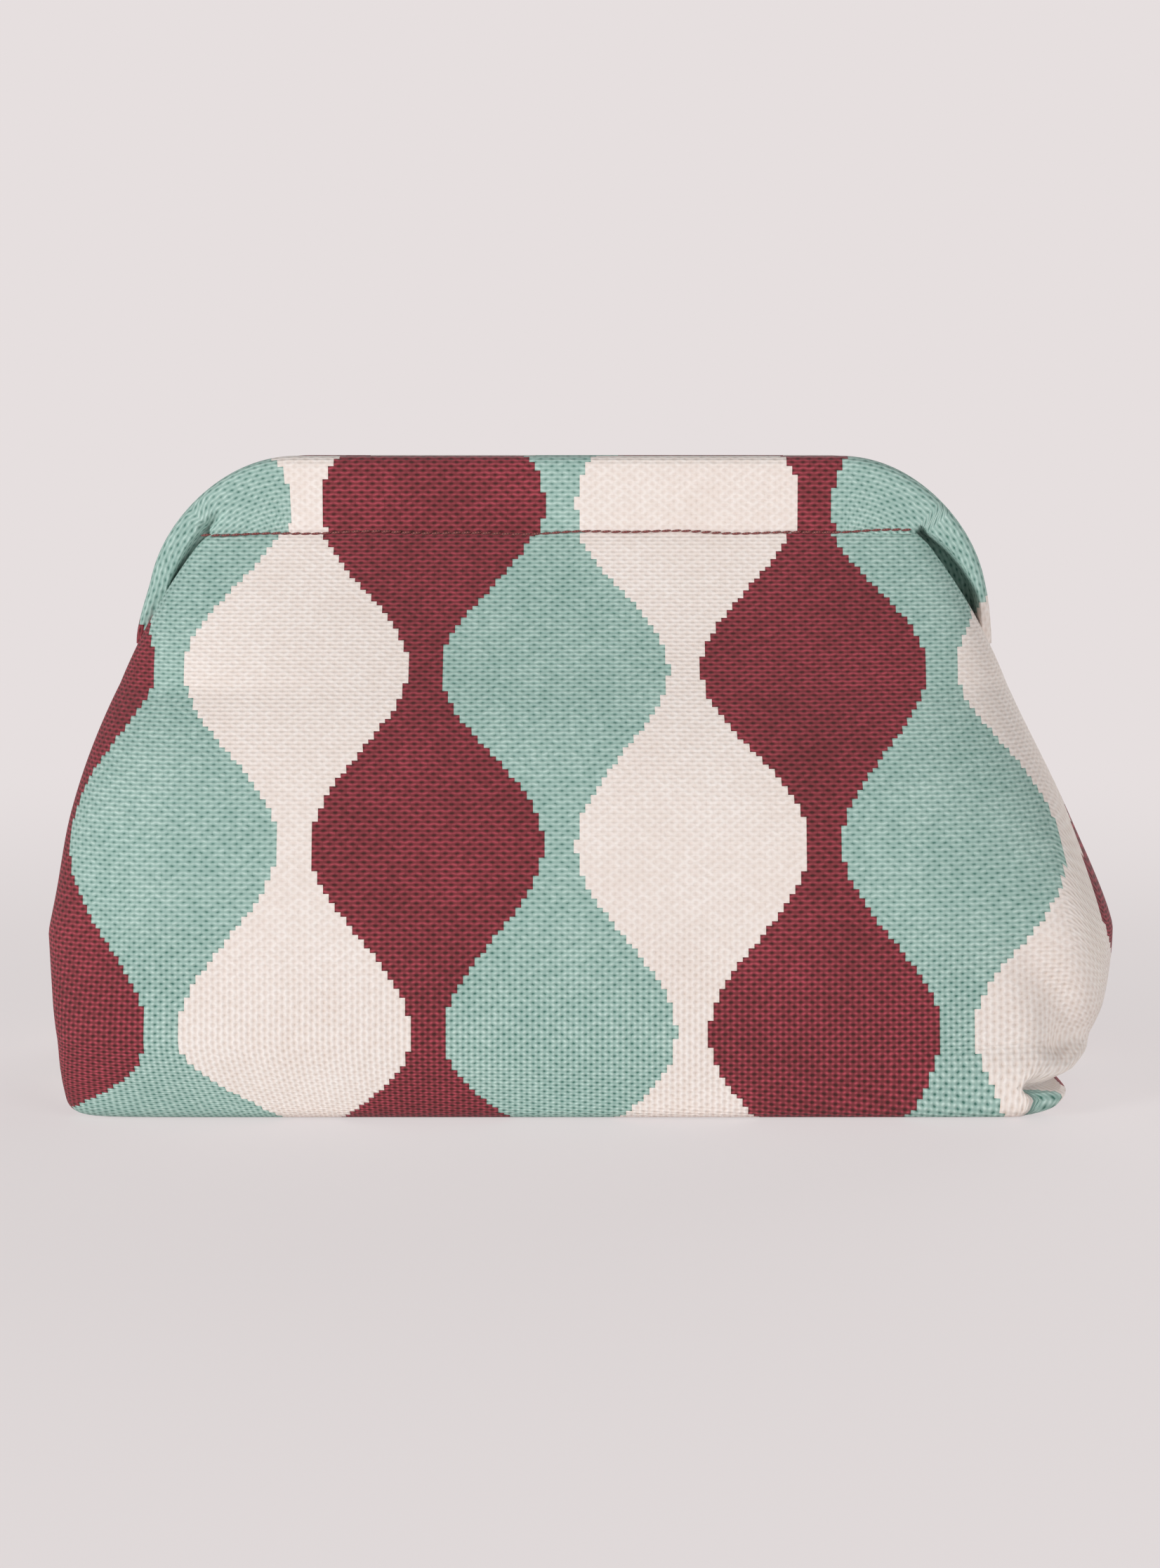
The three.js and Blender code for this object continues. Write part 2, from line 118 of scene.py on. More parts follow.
# Set of the cloth
KNIT_THICKNESS = 1.2
LINING_THICKNESS = 0.4
LINING_INSET = 2.4
LINING_HINGE_ROOM = 15.0  # the lining passes inside the hinges
LINING_HINGE_SPREAD = 12
LINING_FOLD_ROOM = 1.8  # and stays behind the knit where that folds below the sleeve
LINING_FOLD_HEIGHT = 118
LINING_FOLD_SPREAD = 14
LINING_FLOOR = 5
WALL_START = 4  # the seams' grooves and the belly fade out from this height to the floor
FRONT_PART = (20, 45)  # distances from the side seams' plane over which the front begins
SEAM_GAP = 0.1  # from the seams to the middle plane of the bag
SEAM_GROOVE = 1.6
GROOVE_BREAK = 10  # the groove runs out this near to the hinges
SEAM_WIDTH = 3.5
SEWN_DENT = 0.5
SEWN_DENT_WIDTH = 1.8
BELLY = 1.2
BELLY_HEIGHT = 15
BELLY_SPREAD = 14
LEFT_SWAY = 2.9
LEFT_SWAY_HEIGHT = 52
LEFT_SWAY_SPREAD = 20
RIGHT_SWAY = 7.4
RIGHT_SWAY_HEIGHT = 26
RIGHT_SWAY_BELOW = 20
RIGHT_SWAY_ABOVE = 34
SWAY_PART = (98, 130)  # the sway grows between these distances from the middle
TOP_SWAY = 1.4
TOP_SWAY_START = 75
CREASE_PATH = [(110, 48), (114, 37), (119, 28), (122, 19)]
CREASE_DEPTH = 4.2
CREASE_WIDTH = 5.0
RIPPLE = 0.35
RIPPLE_ACROSS = (17, 41)  # lengths of the two crossing ripples to one radian, across and up the wall
RIPPLE_UP = (23, 19)
RIPPLE_FOOT = (2, 20)  # heights between which the ripple begins
RIPPLE_TOP = 25  # and how far below the sewn line it starts to fade

# Folded lower right corner: pairs of height and how far the cloth is drawn in there
CORNER_FOLD = [
    (0, 6.5), (2, 4.4), (5, 3.5),
    (6.6, 7.0), (7.6, 10.5), (8.6, 8.6),
    (10.5, 4.2), (14, 1.0), (18, 0),
]
CORNER_PART = (111, 121)  # distances from the middle over which the fold begins
CORNER_FADE = 25  # the fold fades out over this depth to the side seam
NOTCH_HEIGHT = 7.6

# Knit: the pitch of its columns and rows of stitches, and the stripes
WALE = 1.45
COURSE = 1.13
STRIPE = 33.1
STRIPE_START = -18.6
STRIPE_SWING = 12.4
STRIPE_RISE = 47.2
STRIPE_LEVEL = 21.6

# Drag of the knit where it turns under the base, more to the left
DRAG = 5.9
DRAG_LEFT = 0.1
DRAG_HEIGHT = 20
DRAG_POWER = 2
SLANT = 7.0
SLANT_PLACE = -85
SLANT_SPREAD = 30
SLANT_POWER = 1.6
TIP_DRAG = 30  # drag on the tip of cloth below the folded corner's notch
TIP_PART = (115, 119)
TIP_TOP = (NOTCH_HEIGHT - 1.5, NOTCH_HEIGHT + 0.5)
DROOP = 17
DROOP_PART = (122, 138)  # the cloth droops between these distances from the middle, round the right corner
DROOP_HEIGHT = 48
DROOP_SPREAD = 26

# Stitching along the sleeves
THREAD = 0.65
STITCH_START = -95.5
STITCH_END = 90.5
STITCH_TILT = 0.003
STITCH_PITCH = 2.6
STITCH_LENGTH = 2.5
STITCH_WAVES = [(0.3, 11, 0), (0.2, 4.3, 1)]  # rise, length and phase of each wave of the row
STITCH_SLANT = 0.25  # rise of one stitch from end to end
STITCH_STAND = 0.15  # height of its ends above the dented knit
STITCH_ARCH = 0.4
STITCH_TIP = 0.35  # thickness of its ends, as a share of the middle's

# Gusset webs, as in the solid model
WEB_FOLD = 66
WEB_EDGE = 99
WEB_REACH = 6.4
WEB_LOW = 113
WEB_HIGH = 134
WEB_SAG = 1.5
WEB_SAG_FOOT = 0.4  # share of the sag at the lower edge

# Mesh densities
RING_SAMPLES = 1441
WALL_SAMPLES = 60
FOOT_SAMPLES = 200
PANEL_COLUMNS = 225
PANEL_STEP = 1.5
FINE_TOP = 18  # rows are twice as close below this height
LINING_COLUMNS = 97
LINING_STEP = 3.0
ROLL_ROWS = 8
BASE_ROWS = 10
SLEEVE_STEP = 1.2
SLEEVE_SIDES = 72
STITCH_RINGS = 6
STITCH_SIDES = 8
WEB_COLUMNS = 15
WEB_ROWS = 10


def srgb(red, green, blue):
    """Linear colour of an 8-bit one, with alpha."""
    def linear(value):
        share = value / 255
        return share / 12.92 if share <= 0.04045 else ((share + 0.055) / 1.055) ** 2.4
    return (linear(red), linear(green), linear(blue), 1.0)


def smooth(low, high, value):
    """0 at low and before it, 1 at high and beyond it, an easy curve between."""
    share = np.clip((value - low) / (high - low), 0, 1)
    return share * share * (3 - 2 * share)


def bump(value, centre, width):
    """1 at the centre, falling off on both sides as a bell curve."""
    return np.exp(-(((value - centre) / width) ** 2))


def curve_between(share, start, start_slope, end, end_slope):
    """Cubic from start to end; the slopes are per whole length."""
    return (
        start * (2 * share**3 - 3 * share**2 + 1)
        + start_slope * (share**3 - 2 * share**2 + share)
        + end * (3 * share**2 - 2 * share**3)
        + end_slope * (share**3 - share**2)
    )


# Shape of the shell


def profile(height, bulge_height, full, foot, rim, fullness):
    """Half size of the closed bag at a height below the rim, from its foot over its fullest level up."""
    climb = max(0.0, (height - bulge_height) / (RIM_HEIGHT - bulge_height))
    below = max(0.0, 1 - height / bulge_height) ** BASE_FULLNESS
    lift = max(0.0, 1 - height / BASE_ROLL)
    roll = BASE_ROLL * (1 - math.sqrt(1 - lift**2))
    return full - (full - rim) * climb**fullness - (full - foot) * below - roll


def rim_slope(bulge_height, full, rim, fullness):
    """How fast that profile narrows at the rim."""
    return -(full - rim) * fullness / (RIM_HEIGHT - bulge_height)


SIDE = (SIDE_BULGE_HEIGHT, BAG_WIDTH / 2, RIM_HALF_WIDTH, SIDE_FULLNESS)
FRONT = (FRONT_BULGE_HEIGHT, BAG_DEPTH / 2, RIM_HALF_DEPTH, FRONT_FULLNESS)


def corner_squareness(height, middle):
    """Squareness of a corner of the wall: sharp at the floor, and less towards the rim."""
    share = height / RIM_HEIGHT
    foot = 1 - smooth(0, BASE_CORNER_HEIGHT, height)
    return middle + (BASE_SQUARENESS - middle) * foot + (RIM_SQUARENESS - middle) * share**2


def upper_plan(height):
    """The plan of wall_plan above the rim, where the bag narrows to the sewn line."""
    length = SEWN_HEIGHT - RIM_HEIGHT
    share = (height - RIM_HEIGHT) / length
    side_slope = rim_slope(*SIDE) * length
    front_slope = rim_slope(*FRONT) * length
    half_width = curve_between(
        share, RIM_HALF_WIDTH, side_slope, SEWN_HALF_LENGTH, side_slope * SEWN_SIDE_SLOPE
    )
    half_depth = curve_between(
        share, RIM_HALF_DEPTH, front_slope, SEWN_DEPTH, front_slope * SEWN_FRONT_SLOPE
    )
    squareness = RIM_SQUARENESS + (SEWN_SQUARENESS - RIM_SQUARENESS) * share
    return half_width, half_depth, squareness, squareness


def wall_plan(height):
    """The closed bag's outer face at a height: half width, half depth, and the squareness of its left and
    right corners."""
    if height > RIM_HEIGHT:
        return upper_plan(height)
    side_bulge, side_full, side_rim, side_fullness = SIDE
    front_bulge, front_full, front_rim, front_fullness = FRONT
    half_width = profile(height, side_bulge, side_full, BASE_LENGTH / 2, side_rim, side_fullness)
    half_depth = profile(height, front_bulge, front_full, BASE_DEPTH / 2, front_rim, front_fullness)
    left = corner_squareness(height, LEFT_SQUARENESS)
    right = corner_squareness(height, RIGHT_SQUARENESS)
    return half_width, half_depth, left, right


def lining_plan(height):
    """The same for the lining."""
    half_width, half_depth, left, right = wall_plan(height)
    hinge_room = LINING_HINGE_ROOM * bump(height, HINGE_HEIGHT, LINING_HINGE_SPREAD)
    fold_room = LINING_FOLD_ROOM * bump(height, LINING_FOLD_HEIGHT, LINING_FOLD_SPREAD)
    return half_width - LINING_INSET - hinge_room, half_depth - LINING_INSET - fold_room, left, right


def cloth_mark(height):
    """How far up the cloth a height on the middle of the wall is."""
    heights = np.linspace(BASE_ROLL, height, WALL_SAMPLES)
    depths = np.array([wall_plan(level)[1] for level in heights])
    return BASE_ROLL + float(np.hypot(np.diff(heights), np.diff(depths)).sum())


def half_ring(plan, columns):
    """Points along the front half of a plan, from the left seam to the right one, and how far along the
    cloth each is from the middle."""
    half_width, half_depth, left, right = plan
    turn = np.linspace(math.pi, 0, RING_SAMPLES)
    power = 2 / np.where(np.cos(turn) < 0, left, right)
    x = half_width * np.sign(np.cos(turn)) * np.abs(np.cos(turn)) ** power
    y = -half_depth * np.abs(np.sin(turn)) ** power
    along = np.concatenate([[0], np.cumsum(np.hypot(np.diff(x), np.diff(y)))])
    even = np.linspace(0, along[-1], columns)
    return np.interp(even, along, x), np.interp(even, along, y), even - np.interp(0, x, along)


def shell_rows(floor, plan_at, step):
    """Plans from the middle of the base, out and up the wall to the sewn line, each with its height and its
    place along the cloth."""
    rows = []
    edge_width, edge_depth, left, right = plan_at(0)
    edge_mark = BASE_ROLL * (1 - math.pi / 2)
    for i in range(BASE_ROWS):
        inwards = edge_depth * (1 - i / BASE_ROWS)
        plan = (edge_width - inwards, edge_depth - inwards, left, right)
        rows.append((plan, floor, edge_mark - inwards))
    for i in range(ROLL_ROWS):
        angle = math.pi / 2 * i / ROLL_ROWS
        height = BASE_ROLL * (1 - math.cos(angle))
        mark = BASE_ROLL * (1 + angle - math.pi / 2)
        rows.append((plan_at(height), max(height, floor), mark))
    low_heights = np.arange(BASE_ROLL, FINE_TOP, step / 2)
    high_heights = np.linspace(FINE_TOP, SEWN_HEIGHT, round((SEWN_HEIGHT - FINE_TOP) / step) + 1)
    for height in np.concatenate([low_heights, high_heights]):
        rows.append((plan_at(height), height, cloth_mark(height)))
    return rows


def shell_grid(rows, columns):
    """Points of the front half of the shell, row by row, and their places on the cloth."""
    points = np.zeros((len(rows), columns, 3))
    cloth = np.zeros((len(rows), columns, 2))
    for i, (plan, height, mark) in enumerate(rows):
        x, y, along = half_ring(plan, columns)
        points[i] = np.stack([x, y, np.full_like(x, height)], 1)
        cloth[i] = np.stack([along, np.full_like(x, mark)], 1)
    return points, cloth


def lean(points):
    """The standing bag's sides lean to the right low down, its top sits a little to the left, and its lower
    right corner is folded in at the front."""
    x, y, height = np.moveaxis(points, 2, 0)
    spread = np.where(height < RIGHT_SWAY_HEIGHT, RIGHT_SWAY_BELOW, RIGHT_SWAY_ABOVE)
    left = LEFT_SWAY * bump(height, LEFT_SWAY_HEIGHT, LEFT_SWAY_SPREAD)
    right = RIGHT_SWAY * bump(height, RIGHT_SWAY_HEIGHT, spread)
    sides = np.where(x < 0, left, right) * smooth(*SWAY_PART, np.abs(x))
    corner = smooth(*CORNER_PART, x) * smooth(0, CORNER_FADE, -y)
    folds = np.interp(height, *zip(*CORNER_FOLD))
    points[:, :, 0] += sides - corner * folds - TOP_SWAY * smooth(TOP_SWAY_START, RIM_HEIGHT, height)


# Meshes


def grid_normals(points):
    """Outward normals of a grid of points whose rows go up and whose columns go left to right in front."""
    along = np.gradient(points, axis=1)
    up = np.gradient(points, axis=0)
    normal = np.cross(along, up)
    return normal / np.maximum(np.linalg.norm(normal, axis=2, keepdims=True), 1e-9)


def mesh_object(name, points, faces, cloth=None):
    """A mesh object from points in millimetres, with a map of its cloth, also in millimetres, if given."""
    mesh = bpy.data.meshes.new(name)
    mesh.from_pydata((points * MM).tolist(), [], faces)
    if cloth is not None:
        layer = mesh.uv_layers.new(name="cloth")
        corners = np.zeros(len(mesh.loops), np.int32)
        mesh.loops.foreach_get("vertex_index", corners)
        layer.uv.foreach_set("vector", (cloth[corners] * MM).astype(np.float32).ravel())
    mesh.polygons.foreach_set("use_smooth", np.ones(len(mesh.polygons), bool))
    mesh.update()
    thing = bpy.data.objects.new(name, mesh)
    bpy.context.scene.collection.objects.link(thing)
    return thing


def grid_faces(rows, columns, closed=False):
    """Quads of a grid, numbered row by row; a closed grid joins its last column to its first."""
    faces = []
    for row in range(rows - 1):
        for column in range(columns if closed else columns - 1):
            beside = (column + 1) % columns
            low, high = row * columns, (row + 1) * columns
            faces.append((low + column, low + beside, high + beside, high + column))
    return faces


def flipped(faces):
    """The same faces, looking the other way."""
    return [tuple(reversed(face)) for face in faces]


def turned(points):
    """Half a turn about the vertical, which makes a back piece of a front one."""
    return points * np.array([-1, -1, 1])


def thicken(thing, thickness):
    """Gives a sheet its thickness, on its inner side."""
    solid = thing.modifiers.new("thickness", "SOLIDIFY")
    solid.thickness = thickness * MM
    solid.offset = -1


def bend(thing):
    """Bakes the object's placement into its mesh."""
    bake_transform(thing)


# Knit shell


def valley(points, path):
    """How deep each point of a grid lies in a soft valley that grows along a path of (x, height) pairs."""
    place = points[:, :, [0, 2]]
    depth = np.zeros(points.shape[:2])
    stops = np.array(path, float)
    for i in range(len(stops) - 1):
        start, step = stops[i], stops[i + 1] - stops[i]
        share = np.clip(((place - start) @ step) / (step @ step), 0, 1)
        distance = np.linalg.norm(place - start - share[:, :, None] * step, axis=2)
        grown = (i + share) / (len(stops) - 1)
        depth = np.maximum(depth, grown * bump(distance, 0, CREASE_WIDTH))
    return depth


def drag_cloth(points, cloth):
    """Moves the map of the cloth where the knit is pulled: under the base and round the right corner."""
    x, height = points[:, :, 0], points[:, :, 2]
    low = np.clip(1 - height / DRAG_HEIGHT, 0, 1)
    cloth[:, :, 1] -= (DRAG - DRAG_LEFT * x) * low**DRAG_POWER
    cloth[:, :, 0] -= SLANT * low**SLANT_POWER * bump(x, SLANT_PLACE, SLANT_SPREAD)
    tip = smooth(*TIP_PART, x) * (1 - smooth(*TIP_TOP, height))
    droop = smooth(*DROOP_PART, cloth[:, :, 0]) * bump(height, DROOP_HEIGHT, DROOP_SPREAD)
    cloth[:, :, 1] += DROOP * droop
    cloth[:, :, 1] -= TIP_DRAG * tip


def wall_set(points, cloth):
    """How far the cloth of the wall stands out from its plain shape: seams, belly, ripples and sewn line."""
    x, height = points[:, :, 0], points[:, :, 2]
    edge = np.minimum(cloth[:, :, 0] - cloth[:, :1, 0], cloth[:, -1:, 0] - cloth[:, :, 0])
    wall = smooth(0, WALL_START, height)
    front = smooth(*FRONT_PART, -points[:, :, 1])
    first_ripple = np.sin(x / RIPPLE_ACROSS[0] + height / RIPPLE_UP[0])
    second_ripple = np.sin(height / RIPPLE_UP[1] - x / RIPPLE_ACROSS[1])
    rippled = smooth(*RIPPLE_FOOT, height) * smooth(SEWN_HEIGHT, SEWN_HEIGHT - RIPPLE_TOP, height)
    groove = SEAM_GROOVE * (1 - bump(height, HINGE_HEIGHT, GROOVE_BREAK))
    move = -groove * bump(edge, 0, SEAM_WIDTH) * wall
    move += BELLY * bump(height, BELLY_HEIGHT, BELLY_SPREAD) * wall * front
    move += RIPPLE * first_ripple * second_ripple * rippled
    move -= SEWN_DENT * bump(height, SEWN_HEIGHT, SEWN_DENT_WIDTH)
    return move


def tucked(points, cloth):
    """The grid and its map with one more row, the edge that is tucked into the sleeve."""
    tuck = points[-1:].copy()
    tuck[:, :, 2] += TUCK
    tuck[:, :, :2] *= 1 - TUCK_DEPTH / SEWN_DEPTH * np.array([TUCK_SIDEWAYS, 1])
    tuck_cloth = cloth[-1:] + np.array([0, TUCK])
    return np.concatenate([points, tuck]), np.concatenate([cloth, tuck_cloth])


def panel(side):
    """One knitted half of the shell, from the middle of the base to the sewn line and a tuck beyond it."""
    points, cloth = shell_grid(shell_rows(0, wall_plan, PANEL_STEP), PANEL_COLUMNS)
    move = wall_set(points, cloth)
    if side == "front":
        move -= CREASE_DEPTH * valley(points, CREASE_PATH) * smooth(*FRONT_PART, -points[:, :, 1])
        drag_cloth(points, cloth)
    points += grid_normals(points) * move[:, :, None]
    points[:, :, 1] = np.minimum(points[:, :, 1], -SEAM_GAP)
    if side == "back":
        points = turned(points)
    lean(points)
    points, cloth = tucked(points, cloth)
    faces = grid_faces(len(points), PANEL_COLUMNS)
    thing = mesh_object(f"{side}_knit", points.reshape(-1, 3), faces, cloth.reshape(-1, 2))
    thicken(thing, KNIT_THICKNESS)
    bend(thing)
    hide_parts(f"{side}_panel", f"{side}_yoke")
    return thing


# Sleeves over the frame


def frame_place(along, half_span):
    """A point on the line of a bar, by its distance from the middle of the top, and the way out of the U
    there."""
    straight = half_span - FRAME_CORNER
    arc = FRAME_CORNER * math.pi / 2
    side = -1 if along < 0 else 1
    reach = abs(along)
    if reach <= straight:
        return np.array([along, FRAME_TOP]), np.array([0.0, 1.0])
    if reach <= straight + arc:
        turn = (reach - straight) / FRAME_CORNER
        way = np.array([side * math.sin(turn), math.cos(turn)])
        return np.array([side * straight, FRAME_TOP - FRAME_CORNER]) + FRAME_CORNER * way, way
    drop = reach - straight - arc
    return np.array([side * half_span, FRAME_TOP - FRAME_CORNER - drop]), np.array([float(side), 0.0])


def sleeve_foot(along, half_span, shift):
    """How far in from the bar the sleeve reaches, to the sewn line or to the pleat beside the shell, and
    whether it is sewn there (1) or falls back into the pleat (0). The shell's top may be shifted
    sideways."""
    point, way = frame_place(along, half_span)
    steps = np.linspace(0, FRAME_TOP - SEWN_HEIGHT, FOOT_SAMPLES)
    inside = point[None, :] - steps[:, None] * way[None, :]
    for step, (x, z) in zip(steps, inside):
        reach = abs(x - shift)
        if z <= SEWN_HEIGHT and reach <= SEWN_HALF_LENGTH:
            return step, 1.0
        if z <= SEWN_HEIGHT and reach <= wall_plan(z)[0]:
            return step, 0.0
    return steps[-1], 1.0


def sleeve_section(foot, sewn, over, band, recess):
    """The sleeve's section: pairs of (out of the U, forwards), from the outer foot over the bar to the inner
    foot. A sewn foot lies on the shell, with a groove as deep as the recess below the band; a free one falls
    back into the pleat by the recess."""
    middle = (SLEEVE_INNER + SLEEVE_OUTER) / 2
    half = (SLEEVE_OUTER - SLEEVE_INNER) / 2
    rounding = SLEEVE_ROUND if sewn else RIDGE_ROUND
    round_centre = over - rounding
    fold = foot + SLEEVE_LAP if sewn else max(foot + PLEAT_LAP, PLEAT_LEAST)
    inner_foot = SEWN_INNER if sewn else PLEAT_INNER
    sides = SLEEVE_SIDES // 3
    line = []
    for share in np.linspace(0, 1, sides, endpoint=False):
        out = -fold + (fold + round_centre) * share
        if sewn:
            dent = SEWN_DENT * bump(out, -foot - SLEEVE_LAP, SEWN_DENT_WIDTH)
            dent += recess * bump(out, -band - PLEAT_TIP_WIDTH, PLEAT_TIP_WIDTH)
            forward = SEWN_DEPTH + (SLEEVE_OUTER - SEWN_DEPTH) * share - dent
        else:
            top = min(-band, round_centre)
            forward = SLEEVE_OUTER - recess * smooth(top, top - PLEAT_DROP, out)
        line.append((out, forward))
    for share in np.linspace(0, 1, sides, endpoint=False):
        angle = math.pi * share
        rise = rounding * math.sin(angle) ** FOLD_RISE_POWER
        reach = math.copysign(abs(math.cos(angle)) ** FOLD_REACH_POWER, math.cos(angle))
        line.append((round_centre + rise, middle + half * reach))
    for share in np.linspace(0, 1, SLEEVE_SIDES - 2 * sides):
        out = round_centre - (fold + round_centre) * share
        line.append((out, SLEEVE_INNER + (inner_foot - SLEEVE_INNER) * smooth(INNER_START, 1, share)))
    return np.array(line)


def sleeve_height(way, hand):
    """How far the sleeve stands out from the line of the bar."""
    top = SLEEVE_TOP * way[1] ** 2
    leg = SLEEVE_SIDE[hand] * way[0] ** 2
    cut = SLEEVE_CUT * (2 * way[0] * way[1]) ** 2
    return top + leg - cut


def sleeve(side):
    """The knitted sleeve that holds one bar."""
    half_span = FRAME_HALF_SPAN[side]
    foot_mark = cloth_mark(SEWN_HEIGHT) + FRAME_TOP - SEWN_HEIGHT
    reach = half_span - FRAME_CORNER + FRAME_CORNER * math.pi / 2 + FRAME_TOP - FRAME_CORNER - LEG_FOOT
    stations = np.linspace(-reach, reach, round(2 * reach / SLEEVE_STEP) + 1)
    shift = -TOP_SWAY if side == "front" else TOP_SWAY
    feet = np.array([sleeve_foot(along, half_span, shift) for along in stations])
    # Each station's share is the mean of its own and its two neighbours'
    sewn_share = np.convolve(np.pad(feet[:, 1], 1, mode="edge"), np.ones(3) / 3, mode="valid")
    points = np.zeros((len(stations), SLEEVE_SIDES, 3))
    cloth = np.zeros((len(stations), SLEEVE_SIDES, 2))
    for i, (along, foot, sewn) in enumerate(zip(stations, feet[:, 0], sewn_share)):
        place, way = frame_place(along, half_span)
        hand = "left" if along < 0 else "right"
        over = sleeve_height(way, hand)
        band = np.interp(abs(along), PLEAT_ALONG, PLEAT_BAND[hand])
        recess = PLEAT_RECESS[hand]
        free = sleeve_section(foot, 0, over, band, recess)
        held = sleeve_section(foot, 1, over, band, recess * smooth(*PLEAT_TIP[hand], abs(along)))
        section = free + (held - free) * sewn
        gaps = np.linalg.norm(np.diff(section, axis=0), axis=1)
        spots = place + section[:, :1] * way
        outer = smooth(-FLARE_EDGE, 0, section[:, 0])
        flare = LEG_FLARE[hand] * smooth(FLARE_TOP, LEG_FOOT, spots[:, 1]) * outer
        points[i] = np.stack([spots[:, 0] + flare * way[0], -section[:, 1], spots[:, 1]], 1)
        cloth[i, :, 0] = along - math.copysign(LEG_EASE * smooth(*LEG_EASE_PART, abs(along)), along)
        cloth[i, :, 1] = foot_mark + section[0, 0] + np.concatenate([[0], np.cumsum(gaps)])
    if side == "back":
        points = turned(points)
    faces = flipped(grid_faces(len(stations), SLEEVE_SIDES))
    thing = mesh_object(f"{side}_sleeve", points.reshape(-1, 3), faces, cloth.reshape(-1, 2))
    thicken(thing, SLEEVE_THICKNESS)
    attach(thing, f"{side}_frame")
    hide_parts(f"{side}_casing")
    return thing


# Stitching along the sleeves


def stitch_row(side):
    """A row of sewn stitches, each a short length of thread that dips into the knit at both ends."""
    first = STITCH_START if side == "front" else -STITCH_END
    count = int((STITCH_END - STITCH_START) / STITCH_PITCH)
    points = []
    cloth = []
    faces = []
    for i in range(count):
        middle = first + (i + 0.5) * STITCH_PITCH
        wave = sum(rise * math.sin(middle / length + phase) for rise, length, phase in STITCH_WAVES)
        level = SEWN_HEIGHT + (wave + STITCH_TILT * middle)
        for ring in range(STITCH_RINGS):
            share = ring / (STITCH_RINGS - 1)
            lift = math.sin(math.pi * share)
            radius = THREAD / 2 * (STITCH_TIP + (1 - STITCH_TIP) * lift**0.5)
            x = middle + (share - 0.5) * STITCH_LENGTH
            depth = SEWN_DEPTH - SEWN_DENT + STITCH_STAND + STITCH_ARCH * lift
            tilt = STITCH_SLANT * (share - 0.5)
            along = share * STITCH_LENGTH + i * STITCH_PITCH
            for corner in range(STITCH_SIDES):
                angle = 2 * math.pi * corner / STITCH_SIDES
                y = -depth - radius * math.cos(angle)
                z = level + tilt + radius * math.sin(angle)
                points.append((x, y, z))
                cloth.append((along, corner / STITCH_SIDES * THREAD * math.pi))
        start = i * STITCH_RINGS * STITCH_SIDES
        tube = grid_faces(STITCH_RINGS, STITCH_SIDES, closed=True)
        faces += [tuple(start + corner for corner in face) for face in tube]
        faces.append(tuple(start + corner for corner in reversed(range(STITCH_SIDES))))
        last = start + (STITCH_RINGS - 1) * STITCH_SIDES
        faces.append(tuple(last + corner for corner in range(STITCH_SIDES)))
    points = np.array(points)
    if side == "back":
        points = turned(points)
    thing = mesh_object(f"{side}_stitching", points, faces, np.array(cloth))
    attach(thing, f"{side}_frame")
    return thing


# Lining and gusset webs


def lining(side):
    """One half of the lining, inside the knit."""
    points, cloth = shell_grid(shell_rows(LINING_FLOOR, lining_plan, LINING_STEP), LINING_COLUMNS)
    if side == "front":
        points -= grid_normals(points) * (CREASE_DEPTH * valley(points, CREASE_PATH))[:, :, None]
    points[:, :, 1] = np.minimum(points[:, :, 1], -SEAM_GAP)
    if side == "back":
        points = turned(points)
    lean(points)
    faces = grid_faces(*points.shape[:2])
    thing = mesh_object(f"{side}_lining_cloth", points.reshape(-1, 3), faces, cloth.reshape(-1, 2))
    thicken(thing, LINING_THICKNESS)
    bend(thing)
    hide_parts(f"{side}_lining", f"{side}_yoke_lining")
    return thing


def web(hand, side):
    """Half of a web between the legs, from its fold, which stays with the bag, to the sleeve of one bar."""
    sign = -1 if hand == "left" else 1
    facing = -1 if side == "front" else 1
    out, up = np.meshgrid(np.linspace(0, 1, WEB_COLUMNS), np.linspace(0, 1, WEB_ROWS))
    sag = WEB_SAG * np.sin(math.pi * out)
    x = WEB_FOLD + (WEB_EDGE - WEB_FOLD) * out
    y = SEAM_GAP + (WEB_REACH - SEAM_GAP) * out - sag * (WEB_SAG_FOOT + (1 - WEB_SAG_FOOT) * up)
    z = WEB_LOW + (WEB_HIGH - WEB_LOW) * up + sag * up
    points = np.stack([sign * x, facing * np.maximum(y, SEAM_GAP), z], 2)
    cloth = np.stack([np.hypot(x - WEB_FOLD, y), z], 2)
    faces = grid_faces(WEB_ROWS, WEB_COLUMNS)
    if sign != facing:
        faces = flipped(faces)
    thing = mesh_object(f"{hand}_{side}_web", points.reshape(-1, 3), faces, cloth.reshape(-1, 2))
    thicken(thing, LINING_THICKNESS)
    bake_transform(thing)
    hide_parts(f"{hand}_gusset")
    return thing


# Materials


